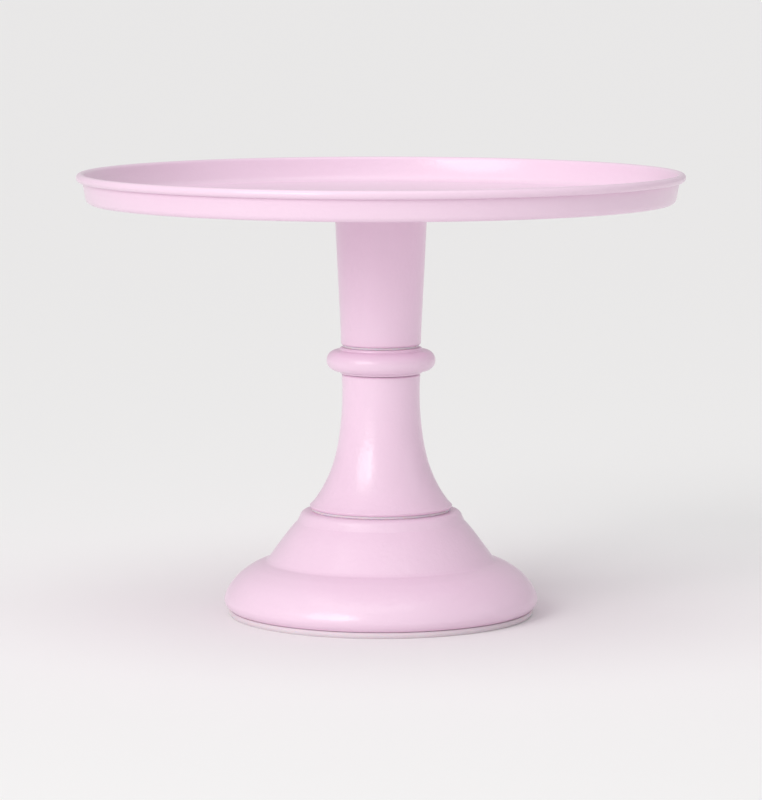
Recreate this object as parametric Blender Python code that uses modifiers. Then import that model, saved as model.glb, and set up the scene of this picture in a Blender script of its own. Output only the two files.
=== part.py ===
"""Knock-down pedestal cake stand.

A shallow round plate with an upturned rim screws onto a two-piece column,
which screws onto a hollow bell foot. Each screw joint is an M10 stud in a
threaded plug or boss, with a thin washer between the painted faces.

Metres, +Z up. The origin is on the table, on the stand's axis.
"""

import math

import bpy
from mathutils import Vector

MM = 0.001

# ---------------------------------------------------------------- dimensions
# All in millimetres; converted once, where the geometry is made.

GAP = 0.3                 # between faces that touch on the real stand

# overall
PLATE_D = 300.0           # across the rim
HEIGHT = 220.0            # table to the top of the rim
RIM_H = 15.0              # plate's underside to the top of the rim

# threads
STUD_R = 5.0              # M10
PITCH = 1.5
TURNS = 8                 # to undo one joint
ENGAGED = 11.8            # thread in its plug or boss when tight
BORE_R = 5.3
PASS_R = 7.0              # clearance hole a stud passes through

# foot
RING_H = 2.7              # non-slip ring
BELL_Z = RING_H + GAP     # lower edge of the bell
BELL_R = 78.0             # widest
BELL_TOP_Z = 52.0
BELL_WALL = 3.0
WEB_T = 5.0               # flat top of the bell
BOSS_FLANGE_R = 21.0
BOSS_FLANGE_T = 3.4
BOSS_R = 10.5
BOSS_H = 15.0
SCREW_PCD_R = 15.8
SCREW_R = 1.9
SCREW_HOLE_R = 2.2
SCREW_HEAD_R = 3.5
SCREW_HEAD_H = 2.4
SCREW_BITE = 3.2          # into the web

# lower column
WASHER_T = 0.7
LOWER_Z = BELL_TOP_Z + GAP + WASHER_T + GAP
LOWER_H = 66.9
LOWER_FOOT_R = 35.4
LOWER_NECK_R = 19.2
COLUMN_WALL = 3.0
LOWER_SEAT_R = 27.0       # counterbore that holds the bottom plug
LOWER_PLUG_T = 8.0
TOP_PLUG_T = 14.0

# collar
COLLAR_H = 13.0
COLLAR_R = 27.0
COLLAR_EDGE_R = 20.4
COLLAR_WASHER_T = 0.7

# upper column
UPPER_BOTTOM_R = 19.8
UPPER_TOP_R = 23.0
UPPER_SEAT_R = 15.8
UPPER_MOUTH_R = 19.2
HUB_R = 18.4
HUB_T = 4.7

# plate
FLOOR_T = 2.5
FLOOR_R = 138.0           # flat part a cake or board stands on

# facets around the axis
FACETS_PLATE = 48
FACETS_BELL = 44
FACETS_COLUMN = 32
FACETS_PLUG = 24
FACETS_STUD = 16
FACETS_SCREW = 12

# heights that follow from the stack
COLLAR_Z = LOWER_Z + LOWER_H + GAP
UPPER_Z = COLLAR_Z + COLLAR_H + GAP + COLLAR_WASHER_T + GAP
PLATE_Z = HEIGHT - RIM_H
UPPER_H = PLATE_Z - GAP - WASHER_T - GAP - UPPER_Z

# ------------------------------------------------------------------ clearing

for old in list(bpy.data.objects):
    bpy.data.objects.remove(old, do_unlink=True)

scene = bpy.context.scene
parts = bpy.data.collections.new("cake_stand")
cutters = bpy.data.collections.new("cutters")
scene.collection.children.link(parts)
scene.collection.children.link(cutters)

# ----------------------------------------------------------------- materials


def material(name, colour, roughness, metallic):
    mat = bpy.data.materials.new(name)
    mat.use_nodes = True
    shader = mat.node_tree.nodes["Principled BSDF"]
    shader.inputs["Base Color"].default_value = (*colour, 1.0)
    shader.inputs["Roughness"].default_value = roughness
    shader.inputs["Metallic"].default_value = metallic
    mat.diffuse_color = (*colour, 1.0)
    return mat


PINK_COAT = material("pink_coat", (0.87, 0.66, 0.80), 0.36, 0.0)
ZINC = material("zinc_steel", (0.62, 0.63, 0.65), 0.32, 1.0)
BRASS = material("turned_brass", (0.78, 0.60, 0.30), 0.30, 1.0)
CAST = material("cast_aluminium", (0.66, 0.67, 0.68), 0.48, 1.0)
SILICONE = material("clear_silicone", (0.86, 0.84, 0.84), 0.45, 0.0)
RUBBER = material("white_rubber", (0.80, 0.76, 0.78), 0.70, 0.0)

# ------------------------------------------------------------------- helpers


def arc(cr, cz, radius, start, end, count):
    """Points of an arc about (cr, cz), from one angle to another in degrees."""
    points = []
    for i in range(count + 1):
        a = math.radians(start + (end - start) * i / count)
        points.append((cr + radius * math.cos(a), cz + radius * math.sin(a)))
    return points


def through(stations, per_span):
    """A smooth curve through the stations, (r, z) each."""
    pts = [Vector(p) for p in stations]
    pts = [2 * pts[0] - pts[1]] + pts + [2 * pts[-1] - pts[-2]]
    out = []
    for i in range(1, len(pts) - 2):
        p0, p1, p2, p3 = pts[i - 1:i + 3]
        for j in range(per_span):
            t = j / per_span
            p = 0.5 * (2 * p1 + (p2 - p0) * t
                       + (2 * p0 - 5 * p1 + 4 * p2 - p3) * t ** 2
                       + (3 * p1 - p0 - 3 * p2 + p3) * t ** 3)
            out.append((p.x, p.y))
    out.append(tuple(stations[-1]))
    return out


def offset_inward(points, distance):
    """The same line moved towards the axis side, along its own normal."""
    out = []
    for i, (r, z) in enumerate(points):
        a = Vector(points[max(i - 1, 0)])
        b = Vector(points[min(i + 1, len(points) - 1)])
        run = (b - a).normalized()
        normal = Vector((run.y, -run.x))
        out.append((r + normal.x * distance, z + normal.y * distance))
    return out


def empty(name, z, parent=None):
    """An axis marker at height z in the world, on the stand's centre line."""
    obj = bpy.data.objects.new(name, None)
    obj.empty_display_size = 0.02
    parts.objects.link(obj)
    obj.parent = parent
    base = AXIS_Z[parent.name] if parent else 0.0
    obj.location = (0.0, 0.0, (z - base) * MM)
    AXIS_Z[name] = z
    return obj


AXIS_Z = {}


def place(obj, z, parent, collection=parts):
    """Put an object at world height z on its axis marker."""
    collection.objects.link(obj)
    obj.parent = parent
    obj.location = (0.0, 0.0, (z - AXIS_Z[parent.name]) * MM)
    return obj


def smooth(mesh, angle=30.0):
    mesh.shade_smooth()
    mesh.set_sharp_from_angle(angle=math.radians(angle))


def turned(name, profile, closed, facets, mat, z, parent, zero):
    """A solid of revolution. The profile runs down its outer side; a closed
    one is a ring about the axis, an open one starts and ends on the axis.
    zero is the profile height that becomes the object's own origin."""
    mesh = bpy.data.meshes.new(name)
    verts = [(r * MM, 0.0, (h - zero) * MM) for r, h in profile]
    edges = [(i, i + 1) for i in range(len(verts) - 1)]
    if closed:
        edges.append((len(verts) - 1, 0))
    mesh.from_pydata(verts, edges, [])
    obj = bpy.data.objects.new(name, mesh)
    place(obj, z, parent)
    screw = obj.modifiers.new("turn", "SCREW")
    screw.axis = "Z"
    screw.angle = math.radians(360.0)
    screw.steps = facets
    screw.render_steps = facets
    screw.use_merge_vertices = True
    screw.merge_threshold = 0.00001
    screw.use_smooth_shade = True
    mesh.materials.append(mat)
    return obj


def tube(name, r_out, r_in, z_low, z_high, facets, mat, parent, chamfer=0.0):
    """A plain ring, plug or washer between two heights."""
    c = chamfer
    outer = [(r_out - c, z_high), (r_out, z_high - c),
             (r_out, z_low + c), (r_out - c, z_low)] if c else \
            [(r_out, z_high), (r_out, z_low)]
    inner = [(r_in, z_low), (r_in, z_high)]
    return turned(name, outer + inner, True, facets, mat, z_low, parent, z_low)


def cutter(name, verts, radius, depth, centre, parent, turn=0.0):
    """A prism used as a Boolean cutter, never rendered."""
    bpy.ops.mesh.primitive_cylinder_add(vertices=verts, radius=radius * MM,
                                        depth=depth * MM)
    obj = bpy.context.active_object
    obj.name = name
    for home in list(obj.users_collection):
        home.objects.unlink(obj)
    cutters.objects.link(obj)
    obj.parent = parent
    x, y, z = centre
    obj.location = (x * MM, y * MM, (z - AXIS_Z[parent.name]) * MM)
    obj.rotation_euler = (0.0, 0.0, turn)
    obj.hide_render = True
    obj.display_type = "WIRE"
    return obj


def cut(obj, tool, label):
    mod = obj.modifiers.new(label, "BOOLEAN")
    mod.operation = "DIFFERENCE"
    mod.solver = "EXACT"
    mod.object = tool
    return mod


def stud(name, z_low, z_high, parent):
    """An M10 stud with chamfered ends."""
    c = 1.0
    profile = [(0.0, z_high), (STUD_R - c, z_high), (STUD_R, z_high - c),
               (STUD_R, z_low + c), (STUD_R - c, z_low), (0.0, z_low)]
    return turned(name, profile, False, FACETS_STUD, ZINC, z_low, parent, z_low)


def jam_nut(name, z_low, height, parent):
    """A thin hexagon nut with a chamfered rim and a plain bore."""
    bpy.ops.mesh.primitive_cylinder_add(vertices=6, radius=8.5 / math.cos(math.pi / 6) * MM,
                                        depth=height * MM)
    obj = bpy.context.active_object
    obj.name = name
    obj.data.name = name
    for home in list(obj.users_collection):
        home.objects.unlink(obj)
    place(obj, z_low + height / 2, parent)
    obj.data.materials.append(ZINC)
    edge = obj.modifiers.new("edge", "BEVEL")
    edge.width = 0.6 * MM
    edge.segments = 1
    edge.limit_method = "ANGLE"
    edge.angle_limit = math.radians(70.0)
    bore = cutter(name + "_bore", FACETS_STUD, BORE_R, height * 3,
                  (0.0, 0.0, z_low + height / 2), parent)
    cut(obj, bore, "bore")
    smooth(obj.data)
    return obj


# --------------------------------------------------------------- axis markers

foot_axis = empty("foot_axis", 0.0)
foot_seat = empty("foot_seat_axis", BELL_TOP_Z, foot_axis)
lower_axis = empty("lower_axis", LOWER_Z, foot_seat)
collar_seat = empty("collar_seat_axis", COLLAR_Z + COLLAR_H, lower_axis)
upper_axis = empty("upper_axis", UPPER_Z, collar_seat)
plate_seat = empty("plate_seat_axis", UPPER_Z + UPPER_H, upper_axis)
plate_axis = empty("plate_axis", PLATE_Z, plate_seat)

# ----------------------------------------------------------------------- foot
# Two rounded shoulders over a bulging skirt that tucks in at the table.

shoulder = [(35.2, BELL_TOP_Z)] + arc(37.0, BELL_TOP_Z - 3.4, 3.4, 76.0, 22.0, 3)
flare = through([(41.7, 46.7), (46.8, 40.6), (51.6, 34.2), (55.4, 28.9)], 2)
ledge = [(57.0, 27.1), (60.0, 26.0)]
skirt = through([(64.4, 24.0), (69.6, 20.6), (74.0, 16.2), (77.0, 11.4),
                 (BELL_R, 7.8), (77.2, 5.2), (74.8, BELL_Z)], 1)
outer = shoulder + flare + ledge + skirt

web_z = BELL_TOP_Z - WEB_T
# the inside keeps the wall's thickness, and steps in under the flat web
skin = [p for p in flare[2:] + ledge + skirt[:-1]]
inside = [p for p in offset_inward(skin, BELL_WALL) if p[1] < web_z - 4.0]
inside.reverse()
foot_profile = outer + [(72.0, BELL_Z)] + inside + [
    (36.0, web_z - 2.0), (33.5, web_z), (PASS_R, web_z), (PASS_R, BELL_TOP_Z)]

foot_bell = turned("foot_bell", foot_profile, True, FACETS_BELL, PINK_COAT,
                   0.0, foot_axis, 0.0)

ring_outer = [(75.4, RING_H), (75.9, RING_H - 0.7), (75.4, 0.5), (74.6, 0.0)]
ring_inner = [(71.6, 0.0), (70.8, 0.5), (70.4, RING_H - 0.5), (70.8, RING_H)]
foot_ring = turned("foot_ring", ring_outer + ring_inner, True, FACETS_BELL,
                   RUBBER, 0.0, foot_axis, 0.0)

boss_top = web_z - GAP
boss_low = boss_top - BOSS_H
# blind, so that crumbs and water stay out of the thread
boss_floor = boss_top - ENGAGED - 1.0
boss_profile = [
    (0.0, boss_floor), (BORE_R, boss_floor), (BORE_R, boss_top),
    (BOSS_FLANGE_R - 0.6, boss_top), (BOSS_FLANGE_R, boss_top - 0.6),
    (BOSS_FLANGE_R, boss_top - BOSS_FLANGE_T), (BOSS_R + 0.9, boss_top - BOSS_FLANGE_T),
    (BOSS_R, boss_top - BOSS_FLANGE_T - 1.4), (BOSS_R, boss_low + 1.2),
    (BOSS_R - 1.2, boss_low), (0.0, boss_low)]
foot_boss = turned("foot_boss", boss_profile, False, FACETS_PLUG, CAST,
                   boss_low, foot_axis, boss_low)

for i in range(3):
    a = math.radians(90.0 + 120.0 * i)
    x, y = SCREW_PCD_R * math.cos(a), SCREW_PCD_R * math.sin(a)
    tip = web_z + SCREW_BITE
    seat = boss_top - BOSS_FLANGE_T - GAP
    hole = cutter(f"screw_hole_{i + 1}", FACETS_SCREW, SCREW_HOLE_R,
                  tip + GAP - (seat - 2.0), (x, y, (tip + GAP + seat - 2.0) / 2), foot_axis)
    cut(foot_boss, hole, f"hole_{i + 1}")
    cut(foot_bell, hole, f"hole_{i + 1}")
    head_low = seat - SCREW_HEAD_H
    profile = [(0.0, tip), (SCREW_R - 0.5, tip), (SCREW_R, tip - 0.5), (SCREW_R, seat),
               (SCREW_HEAD_R, seat), (SCREW_HEAD_R, head_low + 0.9),
               (SCREW_HEAD_R - 0.9, head_low), (0.0, head_low)]
    screw_obj = turned(f"boss_screw_{i + 1}", profile, False, FACETS_SCREW, ZINC,
                       head_low, foot_axis, head_low)
    screw_obj.location.x = x * MM
    screw_obj.location.y = y * MM
    key = cutter(f"screw_key_{i + 1}", 6, 1.45, 3.0, (x, y, head_low), foot_axis)
    cut(screw_obj, key, "key")

# --------------------------------------------------------------- lower column

tube("foot_washer", 34.0, PASS_R, BELL_TOP_Z + GAP, BELL_TOP_Z + GAP + WASHER_T,
     FACETS_COLUMN, SILICONE, foot_seat)

z0, z1 = LOWER_Z, LOWER_Z + LOWER_H
trumpet = through([
    (LOWER_NECK_R + 0.3, z1), (LOWER_NECK_R, z1 - 7.9), (LOWER_NECK_R + 0.2, z1 - 17.6),
    (20.3, z1 - 27.3), (21.9, z1 - 37.4), (24.6, z1 - 47.1), (28.6, z1 - 56.0),
    (32.8, z1 - 62.6), (LOWER_FOOT_R, z0 + 1.4)], 1)
bore_line = offset_inward(trumpet, COLUMN_WALL)
seat_top = z0 + GAP + LOWER_PLUG_T + GAP
bore_line = [p for p in bore_line if seat_top + 0.5 < p[1] < z1 - TOP_PLUG_T - 6.0]
bore_line.reverse()
neck_bore = LOWER_NECK_R - COLUMN_WALL
lower_profile = [(LOWER_NECK_R - 0.5, z1)] + [(LOWER_NECK_R + 0.3, z1 - 0.9)] + trumpet[1:] + [
    (LOWER_FOOT_R - 0.9, z0), (LOWER_SEAT_R, z0), (LOWER_SEAT_R, seat_top),
    (bore_line[0][0], seat_top)] + bore_line + [
    (neck_bore - 0.6, z1 - TOP_PLUG_T - GAP), (neck_bore, z1 - TOP_PLUG_T - GAP), (neck_bore, z1)]
turned("lower_column", lower_profile, True, FACETS_COLUMN, PINK_COAT, z0, lower_axis, z0)

tube("lower_bottom_plug", LOWER_SEAT_R - GAP, BORE_R, z0 + GAP, z0 + GAP + LOWER_PLUG_T,
     FACETS_PLUG, CAST, lower_axis, 0.6)
lower_stud_low = boss_top - ENGAGED
stud("lower_stud", lower_stud_low, z0 + GAP + LOWER_PLUG_T + 7.6, lower_axis)
jam_nut("lower_stud_nut", z0 + GAP + LOWER_PLUG_T + GAP, 5.0, lower_axis)
tube("lower_top_plug", neck_bore - GAP, BORE_R, z1 - TOP_PLUG_T, z1,
     FACETS_PLUG, BRASS, lower_axis, 0.5)

# --------------------------------------------------------------------- collar
# A half-round bead between two small fillets.

c0, c1 = COLLAR_Z, COLLAR_Z + COLLAR_H
mid = (c0 + c1) / 2
bead_r = 5.1
bead_c = COLLAR_R - bead_r
bead = arc(bead_c, mid, bead_r, 78.0, -78.0, 8)
collar_profile = [(COLLAR_EDGE_R - 0.5, c1), (COLLAR_EDGE_R, c1 - 0.6), (COLLAR_EDGE_R + 0.5, c1 - 1.2)] \
    + bead + [(COLLAR_EDGE_R + 0.5, c0 + 1.2), (COLLAR_EDGE_R, c0 + 0.6), (COLLAR_EDGE_R - 0.5, c0),
              (PASS_R, c0), (PASS_R, c1)]
turned("collar_ring", collar_profile, True, FACETS_COLUMN, PINK_COAT, c0, lower_axis, c0)

tube("collar_washer", 18.6, PASS_R, c1 + GAP, c1 + GAP + COLLAR_WASHER_T,
     FACETS_COLUMN, SILICONE, collar_seat)

# --------------------------------------------------------------- upper column

z0, z1 = UPPER_Z, UPPER_Z + UPPER_H
sleeve = through([
    (UPPER_TOP_R, z1 - 0.8), (22.5, z1 - 10.0), (21.7, z1 - 27.0), (20.8, z1 - 45.0),
    (20.1, z1 - 59.0), (UPPER_BOTTOM_R, z0 + 0.8)], 1)
upper_plug_low = PLATE_Z - GAP - HUB_T - 0.6 - TOP_PLUG_T
seat_low = upper_plug_low - GAP
foot_seat_top = z0 + GAP + LOWER_PLUG_T + GAP
upper_profile = [(UPPER_TOP_R - 0.7, z1)] + sleeve + [
    (UPPER_BOTTOM_R - 0.7, z0), (UPPER_SEAT_R, z0), (UPPER_SEAT_R, foot_seat_top),
    (UPPER_SEAT_R - 0.6, foot_seat_top), (17.2, z0 + 24.0), (18.0, seat_low - 6.0), (18.2, seat_low),
    (UPPER_MOUTH_R, seat_low), (UPPER_MOUTH_R, z1)]
turned("upper_column", upper_profile, True, FACETS_COLUMN, PINK_COAT, z0, upper_axis, z0)

tube("upper_bottom_plug", UPPER_SEAT_R - GAP, BORE_R, z0 + GAP, z0 + GAP + LOWER_PLUG_T,
     FACETS_PLUG, CAST, upper_axis, 0.5)
lower_plug_top = LOWER_Z + LOWER_H
stud("middle_stud", lower_plug_top - ENGAGED, z0 + GAP + LOWER_PLUG_T + 7.6, upper_axis)
jam_nut("middle_stud_nut", z0 + GAP + LOWER_PLUG_T + GAP, 5.0, upper_axis)
tube("upper_top_plug", UPPER_MOUTH_R - GAP, BORE_R, upper_plug_low, upper_plug_low + TOP_PLUG_T,
     FACETS_PLUG, BRASS, upper_axis, 0.5)

# ---------------------------------------------------------------------- plate

tube("plate_washer", 22.4, 19.3, z1 + GAP, z1 + GAP + WASHER_T, FACETS_COLUMN,
     SILICONE, plate_seat)

p0 = PLATE_Z
rim_z = HEIGHT - 2.1
floor_z = p0 + FLOOR_T
R = PLATE_D / 2
plate_profile = [(0.0, floor_z), (FLOOR_R, floor_z), (141.0, floor_z + 0.8), (143.0, floor_z + 2.9),
                 (144.2, floor_z + 6.0), (R - 4.3, rim_z)] \
    + arc(R - 2.1, rim_z, 2.1, 150.0, -60.0, 7) \
    + [(R - 2.6, rim_z - 2.9), (147.0, p0 + 5.0), (145.9, p0 + 2.2), (143.6, p0 + 0.5), (141.0, p0),
       (0.0, p0)]
turned("plate", plate_profile, False, FACETS_PLATE, PINK_COAT, p0, plate_axis, p0)

hub_top = p0 - GAP
hub_low = hub_top - HUB_T
tube("plate_hub", HUB_R, BORE_R, hub_low, hub_top, FACETS_PLUG, CAST, plate_axis, 0.6)
upper_plug_top = upper_plug_low + TOP_PLUG_T
stud("plate_stud", upper_plug_top - ENGAGED, hub_top, plate_axis)
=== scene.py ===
import math

import bmesh
import bpy
from mathutils import Matrix, Vector


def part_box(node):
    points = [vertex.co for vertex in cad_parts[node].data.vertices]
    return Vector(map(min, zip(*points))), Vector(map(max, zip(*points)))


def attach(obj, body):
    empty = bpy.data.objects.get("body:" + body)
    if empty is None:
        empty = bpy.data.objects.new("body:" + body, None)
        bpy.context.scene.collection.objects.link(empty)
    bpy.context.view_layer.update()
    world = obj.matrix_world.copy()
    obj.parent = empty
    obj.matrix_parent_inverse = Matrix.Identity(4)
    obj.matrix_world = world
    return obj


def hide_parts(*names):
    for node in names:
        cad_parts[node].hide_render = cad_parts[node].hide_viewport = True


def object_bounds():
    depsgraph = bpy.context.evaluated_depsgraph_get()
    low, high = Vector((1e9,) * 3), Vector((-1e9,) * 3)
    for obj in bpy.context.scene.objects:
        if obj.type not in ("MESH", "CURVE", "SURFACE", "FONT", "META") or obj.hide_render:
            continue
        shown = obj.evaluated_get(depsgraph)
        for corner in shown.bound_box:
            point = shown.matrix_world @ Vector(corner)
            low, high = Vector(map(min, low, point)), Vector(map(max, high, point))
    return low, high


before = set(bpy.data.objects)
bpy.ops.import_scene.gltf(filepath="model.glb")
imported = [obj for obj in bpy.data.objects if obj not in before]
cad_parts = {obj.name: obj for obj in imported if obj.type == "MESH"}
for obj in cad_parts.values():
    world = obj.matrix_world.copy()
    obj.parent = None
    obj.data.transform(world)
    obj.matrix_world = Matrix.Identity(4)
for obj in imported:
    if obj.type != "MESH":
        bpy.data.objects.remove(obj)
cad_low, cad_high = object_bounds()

MM = 0.001

# ------------------------------------------------------------------ the frame
# Heights and radii in millimetres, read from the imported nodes.


def span(node):
    lo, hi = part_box(node)
    return lo.z / MM, hi.z / MM, hi.x / MM


bell_lo, bell_hi, bell_r = span("foot_bell")
ring_lo, ring_hi, ring_r = span("foot_ring")
boss_lo, boss_hi, boss_r = span("foot_boss")
low_lo, low_hi, low_r = span("lower_column")
col_lo, col_hi, col_r = span("collar_ring")
up_lo, up_hi, up_r = span("upper_column")
pl_lo, pl_hi, pl_r = span("plate")
hub_lo, hub_hi, hub_r = span("plate_hub")

PITCH = 1.5
THREAD_ROOT, THREAD_CREST = 4.06, 4.93
NUT_MINOR, NUT_MAJOR = 4.25, 5.06

# ------------------------------------------------------------ profile helpers


def arc(cr, cz, radius, start, end, count):
    out = []
    for i in range(count + 1):
        a = math.radians(start + (end - start) * i / count)
        out.append((cr + radius * math.cos(a), cz + radius * math.sin(a)))
    return out


def smooth_line(stations, per_span):
    """Catmull-Rom through the stations."""
    pts = [Vector(p) for p in stations]
    pts = [2 * pts[0] - pts[1]] + pts + [2 * pts[-1] - pts[-2]]
    out = []
    for i in range(1, len(pts) - 2):
        p0, p1, p2, p3 = pts[i - 1:i + 3]
        for j in range(per_span):
            t = j / per_span
            p = 0.5 * (2 * p1 + (p2 - p0) * t
                       + (2 * p0 - 5 * p1 + 4 * p2 - p3) * t ** 2
                       + (3 * p1 - p0 - 3 * p2 + p3) * t ** 3)
            out.append((p.x, p.y))
    out.append(tuple(stations[-1]))
    return out


def rounded(points, closed, segments=5):
    """A polyline whose corners are turned with the radius given as a third
    number: (r, z) stays sharp, (r, z, fillet) is rounded."""
    n = len(points)
    out = []
    for i, p in enumerate(points):
        fillet = p[2] if len(p) > 2 else 0.0
        here = Vector(p[:2])
        if fillet <= 0.0 or (not closed and i in (0, n - 1)):
            out.append((here.x, here.y))
            continue
        before = Vector(points[(i - 1) % n][:2]) - here
        after = Vector(points[(i + 1) % n][:2]) - here
        la, lb = before.length, after.length
        if la < 1e-9 or lb < 1e-9:
            out.append((here.x, here.y))
            continue
        before, after = before / la, after / lb
        half = before.angle(after) / 2
        if half > math.radians(89.0):
            out.append((here.x, here.y))
            continue
        back = min(fillet / math.tan(half), la * 0.48, lb * 0.48)
        radius = back * math.tan(half)
        start, end = here + before * back, here + after * back
        centre = here + (before + after).normalized() * (radius / math.sin(half))
        a0 = math.atan2(start.y - centre.y, start.x - centre.x)
        a1 = math.atan2(end.y - centre.y, end.x - centre.x)
        turn = (a1 - a0 + math.pi) % (2 * math.pi) - math.pi
        for k in range(segments + 1):
            a = a0 + turn * k / segments
            out.append((centre.x + radius * math.cos(a), centre.y + radius * math.sin(a)))
    return out


# --------------------------------------------------------------- mesh helpers


def lathe(name, profile, closed, segments=160, sharp=32.0):
    """Turns a profile about the Z axis. It runs down its outer side. A closed
    one makes a ring, an open one starts and ends on the axis."""
    bm = bmesh.new()
    rings = []
    for r, z in profile:
        if r < 1e-6:
            rings.append([bm.verts.new((0.0, 0.0, z * MM))])
        else:
            rings.append([bm.verts.new((r * MM * math.cos(2 * math.pi * j / segments),
                                        r * MM * math.sin(2 * math.pi * j / segments),
                                        z * MM)) for j in range(segments)])
    pairs = list(zip(rings, rings[1:]))
    if closed:
        pairs.append((rings[-1], rings[0]))
    for upper, lower in pairs:
        for j in range(segments):
            k = (j + 1) % segments
            corners = []
            for v in (upper[j % len(upper)], lower[j % len(lower)],
                      lower[k % len(lower)], upper[k % len(upper)]):
                if v not in corners:
                    corners.append(v)
            if len(corners) > 2:
                bm.faces.new(corners)
    mesh = bpy.data.meshes.new(name)
    bm.to_mesh(mesh)
    bm.free()
    mesh.shade_smooth()
    mesh.set_sharp_from_angle(angle=math.radians(sharp))
    obj = bpy.data.objects.new(name, mesh)
    bpy.context.scene.collection.objects.link(obj)
    return obj


def ridge(d):
    """Height of a 60 degree thread, 0 to 1, d pitches from its crest."""
    return 1.0 if d < 0.07 else 0.0 if d > 0.36 else (0.36 - d) / 0.29


def thread_phase(z, angle):
    u = (z / PITCH - angle / (2 * math.pi)) % 1.0
    return u


def threaded_rod(name, z_low, z_high, segments=48):
    """A stud with a real right-hand helical thread and chamfered ends. Every
    thread shares one phase, so a stud turns and rises in its own nut."""
    steps = int(round((z_high - z_low) / (PITCH / 10)))
    bm = bmesh.new()
    rings = []
    for i in range(steps + 1):
        z = z_low + (z_high - z_low) * i / steps
        limit = THREAD_ROOT - 0.35 + 1.05 * min(z - z_low, z_high - z)
        ring = []
        for j in range(segments):
            a = 2 * math.pi * j / segments
            u = thread_phase(z, a)
            r = THREAD_ROOT + (THREAD_CREST - THREAD_ROOT) * ridge(min(u, 1 - u))
            r = min(r, limit)
            ring.append(bm.verts.new((r * MM * math.cos(a), r * MM * math.sin(a), z * MM)))
        rings.append(ring)
    for low, high in zip(rings, rings[1:]):
        for j in range(segments):
            k = (j + 1) % segments
            bm.faces.new((low[j], low[k], high[k], high[j]))
    for ring, z, flip in ((rings[0], z_low, True), (rings[-1], z_high, False)):
        # a shallow centre-drill mark in each end
        rim = [bm.verts.new((v.co.x * 0.36, v.co.y * 0.36, v.co.z)) for v in ring]
        dip = 0.9 if flip else -0.9
        tip = bm.verts.new((0.0, 0.0, (z + dip) * MM))
        for j in range(segments):
            k = (j + 1) % segments
            quad = (ring[j], ring[k], rim[k], rim[j])
            tri = (rim[j], rim[k], tip)
            bm.faces.new(tuple(reversed(quad)) if flip else quad)
            bm.faces.new(tuple(reversed(tri)) if flip else tri)
    mesh = bpy.data.meshes.new(name)
    bm.to_mesh(mesh)
    bm.free()
    mesh.shade_smooth()
    mesh.set_sharp_from_angle(angle=math.radians(38.0))
    obj = bpy.data.objects.new(name, mesh)
    bpy.context.scene.collection.objects.link(obj)
    return obj


def threaded_plug(name, outer, bore_low, bore_high, segments=72, blind=False):
    """A turned plug, boss or nut with a helical thread inside. outer runs down
    the outer side from the bore's top edge to its bottom edge. A blind one has
    a drilled floor at bore_low and a closed underside."""
    steps = int(round((bore_high - bore_low) / (PITCH / 10)))
    bm = bmesh.new()

    def ring_at(r_of_angle, z):
        return [bm.verts.new((r_of_angle(2 * math.pi * j / segments) * MM
                              * math.cos(2 * math.pi * j / segments),
                              r_of_angle(2 * math.pi * j / segments) * MM
                              * math.sin(2 * math.pi * j / segments), z * MM))
                for j in range(segments)]

    rings = [ring_at(lambda a, r=r: r, z) for r, z in outer]
    if blind:
        under = bm.verts.new((0.0, 0.0, outer[-1][1] * MM))
        tip = bm.verts.new((0.0, 0.0, (bore_low - 1.1) * MM))
        split = len(rings)
    for i in range(steps + 1):
        z = bore_low + (bore_high - bore_low) * i / steps
        widest = NUT_MAJOR + 0.25 - 1.05 * (bore_high - z if blind else min(z - bore_low, bore_high - z))

        def bore(a, z=z, widest=widest):
            u = thread_phase(z, a)
            r = NUT_MAJOR - (NUT_MAJOR - NUT_MINOR) * ridge(abs(u - 0.5))
            return max(r, widest)

        rings.append(ring_at(bore, z))
    pairs = list(zip(rings, rings[1:])) + [(rings[-1], rings[0])]
    if blind:
        del pairs[split - 1]
        for j in range(segments):
            k = (j + 1) % segments
            bm.faces.new((rings[split - 1][j], under, rings[split - 1][k]))
            bm.faces.new((tip, rings[split][j], rings[split][k]))
    for upper, lower in pairs:
        for j in range(segments):
            k = (j + 1) % segments
            bm.faces.new((upper[j], lower[j], lower[k], upper[k]))
    mesh = bpy.data.meshes.new(name)
    bm.to_mesh(mesh)
    bm.free()
    mesh.shade_smooth()
    mesh.set_sharp_from_angle(angle=math.radians(38.0))
    obj = bpy.data.objects.new(name, mesh)
    bpy.context.scene.collection.objects.link(obj)
    return obj


def bored(obj, tools):
    """Applies Boolean cuts, then removes the cutters."""
    for tool in tools:
        mod = obj.modifiers.new("cut", "BOOLEAN")
        mod.operation = "DIFFERENCE"
        mod.solver = "EXACT"
        mod.object = tool
    bpy.context.view_layer.update()
    done = bpy.data.meshes.new_from_object(obj.evaluated_get(bpy.context.evaluated_depsgraph_get()))
    obj.modifiers.clear()
    obj.data = done
    done.shade_smooth()
    done.set_sharp_from_angle(angle=math.radians(32.0))
    for tool in tools:
        bpy.data.objects.remove(tool, do_unlink=True)
    return obj


def prism(name, sides, radius, z_low, z_high, x=0.0, y=0.0, turn=0.0):
    bm = bmesh.new()
    low, high = [], []
    for j in range(sides):
        a = 2 * math.pi * j / sides + turn
        c, s = x + radius * math.cos(a), y + radius * math.sin(a)
        low.append(bm.verts.new((c * MM, s * MM, z_low * MM)))
        high.append(bm.verts.new((c * MM, s * MM, z_high * MM)))
    bm.faces.new(list(reversed(low)))
    bm.faces.new(high)
    for j in range(sides):
        k = (j + 1) % sides
        bm.faces.new((low[j], low[k], high[k], high[j]))
    mesh = bpy.data.meshes.new(name)
    bm.to_mesh(mesh)
    bm.free()
    obj = bpy.data.objects.new(name, mesh)
    bpy.context.scene.collection.objects.link(obj)
    return obj


# ------------------------------------------------------------------ materials


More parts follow.
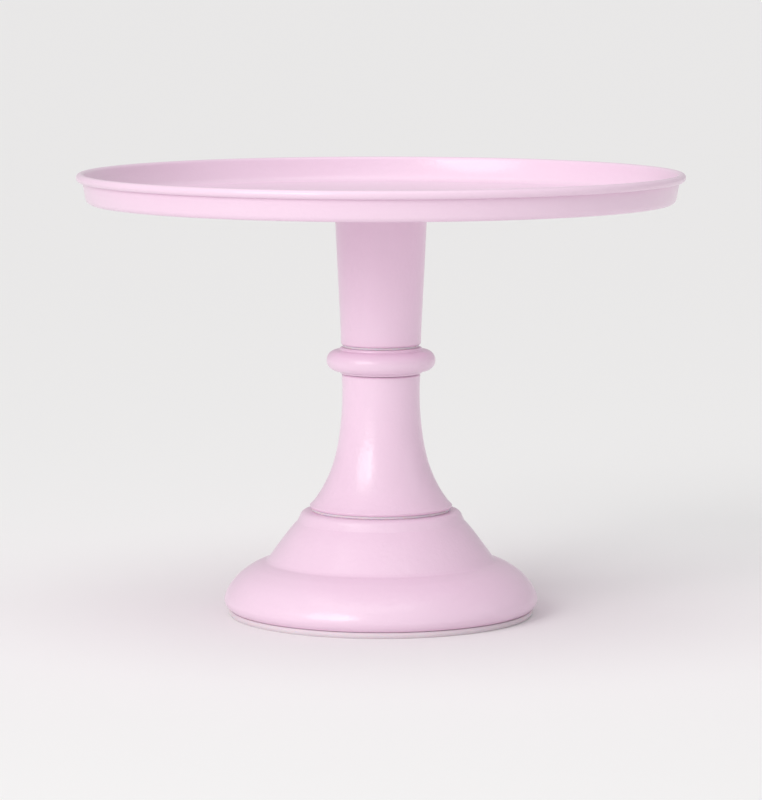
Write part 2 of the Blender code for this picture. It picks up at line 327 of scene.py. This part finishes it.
class Nodes:
    """Short names for building a node tree."""

    def __init__(self, name):
        self.mat = bpy.data.materials.new(name)
        self.mat.use_nodes = True
        self.tree = self.mat.node_tree
        self.shader = self.tree.nodes["Principled BSDF"]
        self.coord = self.add("ShaderNodeTexCoord").outputs["Object"]

    def add(self, kind, **settings):
        node = self.tree.nodes.new(kind)
        for key, value in settings.items():
            setattr(node, key, value)
        return node

    def link(self, a, b):
        self.tree.links.new(a, b)

    def put(self, socket, value):
        if hasattr(value, "is_output"):
            self.link(value, socket)
        else:
            socket.default_value = value

    def noise(self, scale, detail=2.0, roughness=0.5, vector=None, distortion=0.0):
        node = self.add("ShaderNodeTexNoise")
        self.link(vector or self.coord, node.inputs["Vector"])
        node.inputs["Scale"].default_value = scale
        node.inputs["Detail"].default_value = detail
        node.inputs["Roughness"].default_value = roughness
        node.inputs["Distortion"].default_value = distortion
        return node.outputs["Fac"]

    def voronoi(self, scale, vector=None):
        node = self.add("ShaderNodeTexVoronoi")
        self.link(vector or self.coord, node.inputs["Vector"])
        node.inputs["Scale"].default_value = scale
        return node.outputs["Distance"]

    def remap(self, value, low, high, to_low, to_high, smooth=False):
        node = self.add("ShaderNodeMapRange")
        if smooth:
            node.interpolation_type = "SMOOTHSTEP"
        self.link(value, node.inputs["Value"])
        for key, number in (("From Min", low), ("From Max", high), ("To Min", to_low), ("To Max", to_high)):
            node.inputs[key].default_value = number
        return node.outputs["Result"]

    def math(self, operation, a, b=0.0):
        node = self.add("ShaderNodeMath", operation=operation)
        self.put(node.inputs[0], a)
        self.put(node.inputs[1], b)
        return node.outputs[0]

    def mix(self, factor, a, b, blend="MIX"):
        node = self.add("ShaderNodeMix", data_type="RGBA", blend_type=blend)
        self.put(node.inputs["Factor"], factor)
        self.put(node.inputs[6], a)
        self.put(node.inputs[7], b)
        return node.outputs[2]

    def turned(self, stretch=1.0):
        """(radius, height) as a vector, for marks that run round the axis."""
        split = self.add("ShaderNodeSeparateXYZ")
        self.link(self.coord, split.inputs[0])
        xx = self.math("MULTIPLY", split.outputs[0], split.outputs[0])
        yy = self.math("MULTIPLY", split.outputs[1], split.outputs[1])
        r = self.math("SQRT", self.math("ADD", xx, yy))
        join = self.add("ShaderNodeCombineXYZ")
        self.link(r, join.inputs[0])
        self.link(self.math("MULTIPLY", split.outputs[2], stretch), join.inputs[2])
        return join.outputs[0]

    def bump(self, height, distance, strength=1.0, normal=None):
        node = self.add("ShaderNodeBump")
        self.link(height, node.inputs["Height"])
        node.inputs["Distance"].default_value = distance
        node.inputs["Strength"].default_value = strength
        if normal is not None:
            self.link(normal, node.inputs["Normal"])
        return node.outputs["Normal"]

    def near(self, distance):
        """Ambient occlusion: 1 in the open, lower in a crease; the materials use it to paint shade into their
        colour.
        """
        node = self.add("ShaderNodeAmbientOcclusion")
        node.samples = 6
        node.inputs["Distance"].default_value = distance
        return node.outputs["AO"]


def constants(shader, **values):
    for key, value in values.items():
        shader.inputs[key.replace("_", " ")].default_value = value


def rgb(r, g, b):
    return (r, g, b, 1.0)


PINK = rgb(0.885, 0.665, 0.815)
PINK_DEEP = rgb(0.845, 0.580, 0.750)
PINK_THIN = rgb(0.915, 0.720, 0.855)


def powder_coat(name, peel=1.0, rub=0.0):
    """Satin pale pink powder coat: orange peel, slow drift in gloss and
    colour, painted shade (a deeper pink) in creases and a thinner film on edges."""
    n = Nodes(name)
    drift = n.noise(11.0, 3.0, 0.55)
    fine = n.noise(95.0, 2.0, 0.5)
    colour = n.mix(n.remap(drift, 0.35, 0.65, 0.0, 0.22), PINK, PINK_DEEP)
    colour = n.mix(n.remap(fine, 0.3, 0.7, 0.0, 0.10), colour, PINK_THIN)
    edge = n.add("ShaderNodeNewGeometry").outputs["Pointiness"]
    colour = n.mix(n.remap(edge, 0.515, 0.58, 0.0, 0.55, True), colour, PINK_THIN)
    # painted shade: where ambient occlusion finds a crease or a gap between parts, the coat colour is pulled
    # towards PINK_DEEP
    painted_crease_shade = n.remap(n.near(0.006), 0.35, 1.0, 0.5, 0.0, True)
    colour = n.mix(painted_crease_shade, colour, PINK_DEEP)
    specks = n.voronoi(310.0)
    colour = n.mix(n.remap(specks, 0.0, 0.10, 0.16, 0.0), colour, rgb(0.97, 0.80, 0.90))
    n.link(colour, n.shader.inputs["Base Color"])

    gloss = n.remap(n.noise(34.0, 3.0, 0.6), 0.3, 0.7, 0.30, 0.37)
    gloss = n.math("ADD", gloss, n.remap(n.noise(420.0, 2.0, 0.6), 0.3, 0.7, -0.025, 0.03))
    if rub:
        # fine rubs where cakes and boards have been slid about
        streak = n.add("ShaderNodeMapping")
        n.link(n.coord, streak.inputs["Vector"])
        streak.inputs["Rotation"].default_value = (0.0, 0.0, 0.6)
        streak.inputs["Scale"].default_value = (14.0, 420.0, 1.0)
        lines = n.noise(1.0, 2.0, 0.6, streak.outputs[0], 1.2)
        patch = n.remap(n.noise(6.5, 2.0, 0.5), 0.46, 0.62, 0.0, 1.0, True)
        gloss = n.math("ADD", gloss, n.math("MULTIPLY", n.remap(lines, 0.58, 0.72, 0.0, rub), patch))
    n.link(gloss, n.shader.inputs["Roughness"])

    normal = n.bump(n.noise(430.0, 2.0, 0.45), 0.00018 * peel, 0.75)
    normal = n.bump(n.noise(1400.0, 2.0, 0.5), 0.000025 * peel, 0.50, normal)
    normal = n.bump(n.noise(70.0, 1.0, 0.5), 0.00025, 0.30, normal)
    spun = n.noise(700.0, 2.0, 0.6, n.turned(1.0))
    normal = n.bump(spun, 0.00002, 0.40, normal)
    n.link(normal, n.shader.inputs["Normal"])
    n.link(normal, n.shader.inputs["Coat Normal"])
    constants(n.shader, Metallic=0.0, IOR=1.5, Coat_Weight=0.35, Coat_Roughness=0.12, Coat_IOR=1.5)
    return n.mat


def bare_metal(name, base, tint, rough, marks, cast=False, shade=0.30):
    """Turned or cast metal: marks run round the axis, or a sand-cast grain, and painted shade darkens the
    creases.
    """
    n = Nodes(name)
    ways = n.turned(1.0)
    cloud = n.noise(60.0, 4.0, 0.6)
    colour = n.mix(n.remap(cloud, 0.35, 0.7, 0.0, 1.0), base, tint)
    # painted shade: ambient occlusion darkens the metal to shade times its colour in creases and between parts
    painted_crease_shade = n.remap(n.near(0.004), 0.2, 0.95, 0.6, 0.0, True)
    colour = n.mix(painted_crease_shade, colour, rgb(base[0] * shade, base[1] * shade, base[2] * shade))
    n.link(colour, n.shader.inputs["Base Color"])
    lines = n.noise(marks, 3.0, 0.65, ways)
    gloss = n.remap(lines, 0.25, 0.75, rough - 0.07, rough + 0.10)
    gloss = n.math("ADD", gloss, n.remap(n.noise(140.0, 3.0, 0.6), 0.3, 0.75, -0.04, 0.08))
    n.link(gloss, n.shader.inputs["Roughness"])
    normal = n.bump(lines, 0.000012, 0.6)
    if cast:
        normal = n.bump(n.noise(900.0, 3.0, 0.6), 0.00006, 0.8, normal)
        normal = n.bump(n.noise(240.0, 2.0, 0.5), 0.00012, 0.5, normal)
    n.link(normal, n.shader.inputs["Normal"])
    constants(n.shader, Metallic=1.0, IOR=1.5)
    return n.mat


def elastomer(name, base, tint, rough, clear):
    n = Nodes(name)
    cloud = n.noise(45.0, 3.0, 0.6)
    dust = n.remap(n.noise(260.0, 4.0, 0.7), 0.55, 0.75, 0.0, 0.35)
    colour = n.mix(cloud, base, tint)
    colour = n.mix(dust, colour, rgb(0.74, 0.71, 0.70))
    n.link(colour, n.shader.inputs["Base Color"])
    n.link(n.remap(n.noise(330.0, 3.0, 0.6), 0.3, 0.7, rough - 0.06, rough + 0.08),
           n.shader.inputs["Roughness"])
    normal = n.bump(n.noise(1300.0, 2.0, 0.6), 0.00003, 0.6)
    n.link(normal, n.shader.inputs["Normal"])
    constants(n.shader, Metallic=0.0, IOR=1.42, Subsurface_Weight=clear, Subsurface_Scale=0.002)
    return n.mat


COAT = powder_coat("pink_powder_coat")
COAT_PLATE = powder_coat("pink_powder_coat_plate", peel=0.85, rub=0.12)
ZINC = bare_metal("zinc_plate", rgb(0.66, 0.67, 0.69), rgb(0.72, 0.70, 0.66), 0.30, 2600.0)
BRASS = bare_metal("turned_brass", rgb(0.80, 0.60, 0.29), rgb(0.74, 0.52, 0.24), 0.26, 2200.0)
CAST = bare_metal("cast_aluminium", rgb(0.64, 0.65, 0.66), rgb(0.56, 0.57, 0.58), 0.46, 1500.0, cast=True)
SILICONE = elastomer("milky_silicone", rgb(0.84, 0.74, 0.80), rgb(0.78, 0.68, 0.74), 0.42, 0.25)
RUBBER = elastomer("non_slip_rubber", rgb(0.80, 0.70, 0.76), rgb(0.74, 0.65, 0.70), 0.66, 0.10)


def finish_piece(obj, node, body, mat):
    obj.data.materials.clear()
    obj.data.materials.append(mat)
    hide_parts(node)
    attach(obj, body)
    return obj


# ----------------------------------------------------------------------- foot
# Two shoulders over a bulging skirt that tucks in at its lower edge.

shoulder = [(35.4, bell_hi)] + arc(37.0, bell_hi - 3.4, 3.4, 84.0, 24.0, 10)
flare = smooth_line([(41.5, 46.8), (44.2, 43.8), (46.9, 40.5), (51.6, 34.2), (55.6, 28.7)], 8)
ledge = smooth_line([(56.2, 27.9), (57.4, 26.9), (59.4, 26.2)], 5)
skirt = smooth_line([(61.2, 25.5), (64.4, 24.0), (69.6, 20.6), (74.0, 16.2), (77.0, 11.4),
                     (bell_r, 7.8), (77.2, 5.2), (75.3, 3.3)], 7)
outer = shoulder + flare + ledge + skirt
web = bell_hi - 5.0
inner_stations = [(72.1, 3.5), (74.0, 5.2), (75.0, 7.8), (74.2, 10.4), (71.7, 14.3), (67.7, 18.3),
                  (62.9, 21.4), (58.6, 23.3), (55.3, 24.9), (52.9, 27.2), (49.1, 32.4), (44.5, 38.6),
                  (41.0, 42.8)]
inside = smooth_line(inner_stations, 4)
foot_profile = outer + [(74.6, bell_lo), (72.5, bell_lo)] + inside + rounded(
    [(38.6, web - 2.0), (34.0, web, 3.0), (7.0, web, 0.4), (7.0, bell_hi, 0.4), (20.0, bell_hi)], False)[1:]
foot = lathe("foot_bell_shell", foot_profile, True, 192)
screws = []
for i in range(3):
    a = math.radians(90.0 + 120.0 * i)
    screws.append((15.8 * math.cos(a), 15.8 * math.sin(a)))
foot = bored(foot, [prism(f"tap_{i}", 32, 2.15, web - 4.0, web + 3.45, x, y)
                    for i, (x, y) in enumerate(screws)])
finish_piece(foot, "foot_bell", "foot", COAT)

ring_profile = rounded([
    (75.3, ring_hi + 0.2, 0.3), (75.9, ring_hi - 0.8, 0.5), (75.6, 0.9, 0.5), (74.9, 0.0, 0.3),
    (74.1, 0.0, 0.15), (73.95, 0.55, 0.1), (73.55, 0.55, 0.1), (73.4, 0.0, 0.15),
    (72.8, 0.0, 0.15), (72.65, 0.55, 0.1), (72.25, 0.55, 0.1), (72.1, 0.0, 0.15),
    (71.3, 0.0, 0.3), (70.6, 0.8, 0.4), (70.45, ring_hi - 0.5, 0.4), (70.9, ring_hi + 0.2, 0.3)], True, 4)
finish_piece(lathe("non_slip_ring", ring_profile, True, 192), "foot_ring", "foot", RUBBER)

boss_outer = rounded([
    (5.6, boss_hi), (boss_r, boss_hi, 0.5), (boss_r, boss_hi - 3.4, 0.6), (11.8, boss_hi - 3.5, 1.3),
    (10.5, boss_hi - 5.2, 1.2), (10.4, boss_lo + 1.3, 0.6), (9.3, boss_lo, 0.8), (5.0, boss_lo),
    (4.4, boss_lo + 0.25), (2.0, boss_lo + 0.25)], False, 5)
boss = threaded_plug("foot_boss_casting", boss_outer, boss_hi - 12.8, boss_hi, blind=True)
boss = bored(boss, [prism(f"boss_hole_{i}", 32, 2.2, boss_hi - 8.0, boss_hi + 2.0, x, y)
                    for i, (x, y) in enumerate(screws)])
finish_piece(boss, "foot_boss", "foot", CAST)

for i, (x, y) in enumerate(screws):
    node = f"boss_screw_{i + 1}"
    lo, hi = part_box(node)
    bottom, top = lo.z / MM, hi.z / MM
    head_r = (hi.x - lo.x) / MM / 2
    seat = bottom + 2.4
    rod = [(0.0, top), (1.5, top, 0.2), (1.9, top - 0.5, 0.2), (1.9, seat + 0.9, 0.1), (2.05, seat, 0.0),
           (head_r - 0.1, seat, 0.15), (head_r, seat - 0.9, 0.3)]
    dome = arc(0.0, bottom + 5.4, 5.4, -42.0, -90.0, 8)
    dome = [(min(r * (head_r - 0.45) / dome[0][0], head_r), z) for r, z in dome]
    head = lathe(f"socket_screw_{i + 1}", rounded(rod, False, 3) + dome[:-1] + [(0.0, bottom)], False, 48)
    key = prism(f"key_{i}", 6, 1.44, bottom - 1.0, bottom + 1.5)
    head = bored(head, [key])
    head.location = (x * MM, y * MM, 0.0)
    head.rotation_euler = (0.0, 0.0, math.radians(17.0 + 41.0 * i))
    finish_piece(head, node, "foot", ZINC)

# ------------------------------------------------------------------- washers


def washer(name, node, body, r_out, r_in):
    lo, hi, _ = span(node)
    lo, hi = lo - 0.27, hi + 0.27
    profile = rounded([(r_out, hi, 0.35), (r_out, lo, 0.35), (r_in, lo, 0.2), (r_in, hi, 0.2)], True, 4)
    finish_piece(lathe(name, profile, True, 128), node, body, SILICONE)


washer("foot_seal", "foot_washer", "foot_washer_lift", 34.4, 7.0)
washer("collar_seal", "collar_washer", "collar_washer_lift", 18.7, 7.0)
washer("plate_seal", "plate_washer", "plate_washer_lift", 22.6, 19.3)

# --------------------------------------------------------------- lower column

neck = 19.2
trumpet = smooth_line([
    (neck + 0.25, low_hi - 1.2), (neck, low_hi - 7.9), (neck + 0.2, low_hi - 17.6), (20.3, low_hi - 27.3),
    (21.9, low_hi - 37.4), (24.6, low_hi - 47.1), (28.6, low_hi - 56.0), (32.8, low_hi - 62.6),
    (low_r, low_lo + 1.4)], 9)
seat_top = low_lo + 8.6
bore = smooth_line([(25.9, seat_top + 0.9), (24.5, seat_top + 4.0), (21.6, low_lo + 19.6), (18.9, low_lo + 29.0),
                    (17.3, low_lo + 39.4), (16.4, low_hi - 20.3)], 5)
low_profile = rounded([(16.2, low_hi), (neck - 0.2, low_hi, 0.3), (neck + 0.28, low_hi - 0.6, 0.2)], False, 4) \
    + trumpet + [(low_r - 0.15, low_lo + 0.7), (low_r - 0.5, low_lo + 0.2), (low_r - 1.0, low_lo),
                 (27.0, low_lo), (27.0, seat_top), (26.4, seat_top + 0.3)] + bore \
    + [(15.6, low_hi - 14.6), (16.2, low_hi - 14.4)]
finish_piece(lathe("lower_column_tube", low_profile, True, 160), "lower_column", "lower_section", COAT)


def plain_plug(name, node, body, mat, recess=0.0):
    """A turned plug with a chamfered rim, a shallow turned recess in its face
    and a threaded bore."""
    lo, hi, r = span(node)
    outline = [(5.6, hi), (r - 0.6, hi, 0.15), (r, hi - 0.6, 0.2), (r, lo + 0.6, 0.2), (r - 0.6, lo, 0.15)]
    if recess:
        outline += [(r - 2.6, lo, 0.2), (r - 3.0, lo + recess, 0.2), (8.4, lo + recess, 0.2), (8.0, lo, 0.2)]
    outline += [(5.6, lo)]
    return finish_piece(threaded_plug(name, rounded(outline, False, 4), lo, hi), node, body, mat)


plain_plug("lower_base_plug", "lower_bottom_plug", "lower_section", CAST, 0.5)
plain_plug("lower_brass_plug", "lower_top_plug", "lower_section", BRASS)
plain_plug("upper_base_plug", "upper_bottom_plug", "upper_section", CAST, 0.5)
plain_plug("upper_brass_plug", "upper_top_plug", "upper_section", BRASS)

for node, name, body in (("lower_stud", "lower_stud_rod", "lower_section"),
                         ("middle_stud", "middle_stud_rod", "upper_section"),
                         ("plate_stud", "plate_stud_rod", "plate_section")):
    lo, hi, _ = span(node)
    finish_piece(threaded_rod(name, lo, hi), node, body, ZINC)


def hexagon_nut(name, node, body):
    """A chamfered hexagon nut: the hexagon is trimmed by a cone top and
    bottom, then threaded."""
    lo, hi, _ = span(node)
    corner = 17.0 / 2 / math.cos(math.pi / 6)
    bm = bmesh.new()
    segments = 72
    rings = []

    def flat(a):
        a = (a + math.pi / 6) % (math.pi / 3) - math.pi / 6
        return corner * math.cos(math.pi / 6) / math.cos(a)

    levels = [(hi, 0.0), (hi - 0.35, 0.35), (hi - 0.8, 0.8), (hi - 1.3, 1.3),
              (lo + 1.3, 1.3), (lo + 0.8, 0.8), (lo + 0.35, 0.35), (lo, 0.0)]
    face = 17.0 / 2 - 0.15

    def ring_of(fn, z):
        return [bm.verts.new((fn(2 * math.pi * j / segments) * MM * math.cos(2 * math.pi * j / segments),
                              fn(2 * math.pi * j / segments) * MM * math.sin(2 * math.pi * j / segments),
                              z * MM)) for j in range(segments)]

    for z, drop in levels:
        rings.append(ring_of(lambda a, d=drop: min(flat(a - math.pi / 6), face + d * 1.6), z))
    steps = int(round((hi - lo) / (PITCH / 10)))
    for i in range(steps + 1):
        z = lo + (hi - lo) * i / steps
        widest = NUT_MAJOR + 0.25 - 1.05 * min(z - lo, hi - z)

        def bore_r(a, z=z, widest=widest):
            u = thread_phase(z, a)
            return max(NUT_MAJOR - (NUT_MAJOR - NUT_MINOR) * ridge(abs(u - 0.5)), widest)

        rings.append(ring_of(bore_r, z))
    for upper, lower in list(zip(rings, rings[1:])) + [(rings[-1], rings[0])]:
        for j in range(segments):
            k = (j + 1) % segments
            bm.faces.new((upper[j], lower[j], lower[k], upper[k]))
    mesh = bpy.data.meshes.new(name)
    bm.to_mesh(mesh)
    bm.free()
    mesh.shade_smooth()
    mesh.set_sharp_from_angle(angle=math.radians(25.0))
    obj = bpy.data.objects.new(name, mesh)
    bpy.context.scene.collection.objects.link(obj)
    return finish_piece(obj, node, body, ZINC)


hexagon_nut("lower_jam_nut", "lower_stud_nut", "lower_section")
hexagon_nut("middle_jam_nut", "middle_stud_nut", "upper_section")

# --------------------------------------------------------------------- collar
# A half-round bead between two narrow fillets.

mid = (col_lo + col_hi) / 2
bead = arc(col_r - 5.1, mid, 5.1, 82.0, -82.0, 28)
collar_profile = rounded([(7.0, col_hi, 0.3), (19.9, col_hi, 0.25), (20.4, col_hi - 0.5, 0.25),
                          (20.5, col_hi - 1.15, 0.2), (21.6, col_hi - 1.35)], False, 4) \
    + bead + rounded([(21.6, col_lo + 1.35), (20.5, col_lo + 1.15, 0.2), (20.4, col_lo + 0.5, 0.25),
                      (19.9, col_lo, 0.25), (7.0, col_lo, 0.3)], False, 4)
finish_piece(lathe("collar_bead", collar_profile, True, 160), "collar_ring", "lower_section", COAT)

# --------------------------------------------------------------- upper column

sleeve = smooth_line([
    (up_r, up_hi - 0.9), (22.5, up_hi - 10.0), (21.7, up_hi - 27.0), (20.8, up_hi - 45.0),
    (20.1, up_hi - 59.0), (19.8, up_lo + 0.8)], 9)
plug_lo = span("upper_top_plug")[0]
up_profile = rounded([(19.2, up_hi), (up_r - 0.5, up_hi, 0.4), (up_r - 0.02, up_hi - 0.6, 0.3)], False, 4) \
    + sleeve + [(19.6, up_lo + 0.3), (19.2, up_lo), (15.8, up_lo), (15.8, up_lo + 8.6), (15.2, up_lo + 8.8)] \
    + smooth_line([(15.6, up_lo + 10.5), (17.2, up_lo + 24.0), (18.0, plug_lo - 6.3), (18.2, plug_lo - 0.6)], 6) \
    + [(18.5, plug_lo - 0.3), (19.2, plug_lo - 0.3)]
finish_piece(lathe("upper_column_tube", up_profile, True, 160), "upper_column", "upper_section", COAT)

# ---------------------------------------------------------------------- plate
# Flat floor, coved into a flared rim whose edge is rolled outwards.

floor_z = pl_lo + 2.5
R = pl_r
roll = 2.1
rc, rz = R - roll, pl_hi - roll
well = rounded([(60.0, floor_z), (141.3, floor_z, 5.5), (R - 4.4, rz - 1.5)], False, 12)
curl = arc(rc, rz, roll, 158.0, -104.0, 30)
outside = [(R - 3.0, rz - 1.75), (R - 3.25, rz - 1.60), (R - 3.15, rz - 2.5)]
wall = rounded([(R - 3.15, rz - 2.6), (R - 5.0, pl_lo + 0.3, 4.2), (140.0, pl_lo)], False, 12)
plate_profile = [(0.0, floor_z), (20.0, floor_z), (60.0, floor_z)] + well[1:] + curl + outside + wall[1:] \
    + [(100.0, pl_lo), (50.0, pl_lo), (20.0, pl_lo), (0.0, pl_lo)]
finish_piece(lathe("plate_dish", plate_profile, False, 240), "plate", "plate_section", COAT_PLATE)

hub_outer = rounded([(5.6, hub_hi), (hub_r - 0.6, hub_hi, 0.1), (hub_r, hub_hi - 0.6, 0.2),
                     (hub_r, hub_lo + 0.6, 0.3), (hub_r - 0.6, hub_lo, 0.2), (5.6, hub_lo)], False, 4)
finish_piece(threaded_plug("plate_hub_disc", hub_outer, hub_lo, hub_hi), "plate_hub", "plate_section",
             CAST)

# ----------------------------------------------------------------- the studio

bm = bmesh.new()
bmesh.ops.create_circle(bm, cap_ends=True, radius=60.0, segments=128)
floor_mesh = bpy.data.meshes.new("floor")
bm.to_mesh(floor_mesh)
bm.free()
floor = bpy.data.objects.new("floor", floor_mesh)
bpy.context.scene.collection.objects.link(floor)
pale = Nodes("floor_pale")
constants(pale.shader, Base_Color=rgb(0.90, 0.895, 0.895), Roughness=1.0, Specular_IOR_Level=0.0)
floor_mesh.materials.append(pale.mat)

# An even pale room. It lights the stand softly, and looks as pale as the
# floor, so that no horizon shows behind the stand.
world = bpy.data.worlds.new("studio")
bpy.context.scene.world = world
world.use_nodes = True
room = world.node_tree
back = room.nodes["Background"]
back.inputs["Color"].default_value = rgb(1.0, 0.995, 0.995)
back.inputs["Strength"].default_value = 0.53
seen = room.nodes.new("ShaderNodeBackground")
seen.inputs["Color"].default_value = rgb(1.0, 0.995, 0.995)
seen.inputs["Strength"].default_value = 0.81
path = room.nodes.new("ShaderNodeLightPath")
pick = room.nodes.new("ShaderNodeMixShader")
room.links.new(path.outputs["Is Camera Ray"], pick.inputs[0])
room.links.new(back.outputs[0], pick.inputs[1])
room.links.new(seen.outputs[0], pick.inputs[2])
room.links.new(pick.outputs[0], room.nodes["World Output"].inputs["Surface"])
bpy.context.scene.view_settings.view_transform = "Standard"


def aimed(light, place, target):
    bpy.context.scene.collection.objects.link(light)
    light.location = place
    light.rotation_euler = (Vector(target) - Vector(place)).to_track_quat("-Z", "Y").to_euler()


def soft_light(name, place, target, size, power, colour=(1.0, 1.0, 1.0)):
    data = bpy.data.lights.new(name, "AREA")
    data.shape = "RECTANGLE"
    data.size, data.size_y = size
    data.energy = power
    data.color = colour
    aimed(bpy.data.objects.new(name, data), place, target)


def far_light(name, place, target, spread, strength, colour=(1.0, 1.0, 1.0)):
    data = bpy.data.lights.new(name, "SUN")
    data.angle = math.radians(spread)
    data.energy = strength
    data.color = colour
    aimed(bpy.data.objects.new(name, data), place, target)


centre = (0.0, 0.0, 0.5 * (cad_low[2] + cad_high[2]))
far_light("key", (-1.5, -0.60, 0.85), centre, 34.0, 0.98, (1.0, 0.985, 0.965))
far_light("top", (-0.25, -0.20, 1.60), centre, 60.0, 0.78)
soft_light("softbox", (-1.25, -0.95, 0.75), centre, (0.28, 0.8), 3.4, (1.0, 0.99, 0.98))
soft_light("fill", (1.35, -1.05, 0.75), centre, (0.9, 0.9), 1.0, (0.97, 0.98, 1.0))

# The camera stands where the photograph's does: 1.95 m away, a little above
# the plate, with a long lens.
yaw = math.radians(-26.5)
reach, eye = 1.95, 0.33
cam_data = bpy.data.cameras.new("camera")
cam_data.lens = 178.0
cam_data.sensor_width = 36.0
cam = bpy.data.objects.new("camera", cam_data)
bpy.context.scene.collection.objects.link(cam)
cam.location = (math.sin(yaw) * reach, -math.cos(yaw) * reach, eye)
aim = Vector((0.0, 0.0, 0.107))
cam.rotation_euler = (aim - cam.location).to_track_quat("-Z", "Y").to_euler()
bpy.context.scene.camera = cam
